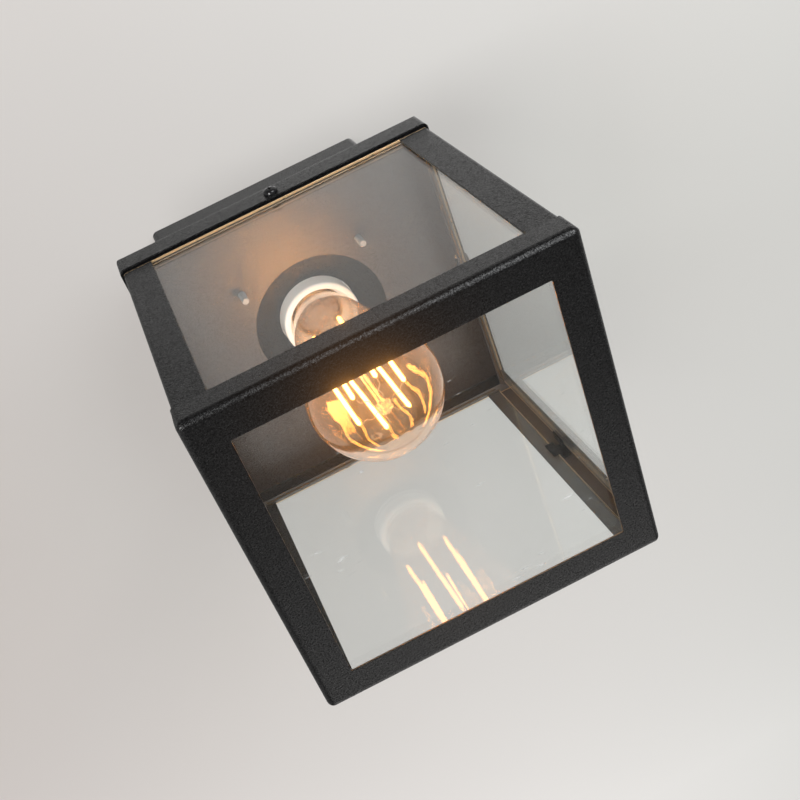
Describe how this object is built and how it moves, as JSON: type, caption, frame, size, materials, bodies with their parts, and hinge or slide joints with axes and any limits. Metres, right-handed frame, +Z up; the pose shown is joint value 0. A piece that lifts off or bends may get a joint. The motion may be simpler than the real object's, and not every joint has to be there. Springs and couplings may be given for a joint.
{
  "type": "ceiling lantern",
  "caption": "Square black metal porch ceiling lantern: glass cage hung under a flat roof, with a square canopy and a clear teardrop filament lamp in a recessed holder.",
  "frame": {"origin": "the middle of the ceiling face, where the bracket and the canopy's rim meet the ceiling", "axes": "+Z up into the ceiling; the lantern hangs along -Z; +X to the right and -Y to the front, along the square body's sides"},
  "size_m": [0.1654, 0.1654, 0.226],
  "materials": {
    "black_powder": "fine sand-textured black powder coat",
    "black_screw": "glossy black coated steel",
    "zinc_steel": "bright zinc plate",
    "black_rubber": "matt moulded rubber",
    "white_porcelain": "white glazed porcelain",
    "brass": "drawn brass",
    "white_plastic": "moulded plastic",
    "brown_insulation": "silicone insulation",
    "blue_insulation": "silicone insulation",
    "green_yellow_insulation": "silicone insulation, green and yellow",
    "clear_pane": "clear float glass",
    "clear_sealant": "translucent silicone",
    "lamp_glass": "clear blown glass, faint amber tint",
    "stem_glass": "clear drawn glass",
    "black_glass": "black glass",
    "solder": "tin solder",
    "support_wire": "fine drawn wire",
    "filament": "glowing wire coil"
  },
  "bodies": {
    "fixture": {"ceiling_bracket": "zinc_steel", "cable_grommet": "black_rubber", "canopy": "black_powder", "canopy_side_screws": "black_screw", "roof_cap": "black_powder", "lamp_carrier": "black_powder", "roof_screws": "zinc_steel", "skirt_screws": "black_screw", "skirt_nuts": "zinc_steel", "lampholder_body": "white_porcelain", "holder_studs": "zinc_steel", "holder_nuts": "zinc_steel", "threaded_shell": "brass", "centre_contact": "brass", "holder_terminals": "brass", "terminal_block": "white_plastic", "terminal_inserts": "brass", "terminal_screws": "zinc_steel", "lead_live": "brown_insulation", "lead_neutral": "blue_insulation", "lead_earth": "green_yellow_insulation", "earth_stud": "zinc_steel", "earth_nut": "zinc_steel"},
    "glass_cage": {"top_rail": "black_powder", "post_front_left": "black_powder", "post_front_right": "black_powder", "post_back_left": "black_powder", "post_back_right": "black_powder", "bottom_ring": "black_powder", "pane_front": "clear_pane", "pane_back": "clear_pane", "pane_left": "clear_pane", "pane_right": "clear_pane", "pane_bottom": "clear_pane", "pane_clips": "black_powder", "sealant_top": "clear_sealant", "sealant_bottom": "clear_sealant"},
    "lamp_foot": {"lamp_insulator": "black_glass", "lamp_end_contact": "solder"},
    "lamp": {"lamp_glass": "lamp_glass", "lamp_cap": "brass", "lamp_stem": "stem_glass", "lamp_lead_wires": "support_wire", "lamp_supports": "support_wire", "lamp_filament": "filament"}
  },
  "joints": [
    {"name": "cage_drop", "type": "slide", "parent": "fixture", "child": "glass_cage", "axis": [0, 0, -1], "range_m": [0, 0.13]},
    {"name": "lamp_travel", "type": "slide", "parent": "fixture", "child": "lamp_foot", "axis": [0, 0, -1], "range_m": [0, 0.0255]},
    {"name": "lamp_turn", "type": "hinge", "parent": "lamp_foot", "child": "lamp", "pos_m": [0, 0, -0.05], "axis": [0, 0, -1], "range_deg": [0, 2520]}
  ],
  "couplings": [
    {"joint": "lamp_travel", "follows": "lamp_turn", "m_per_rad": 0.00057774}
  ]
}
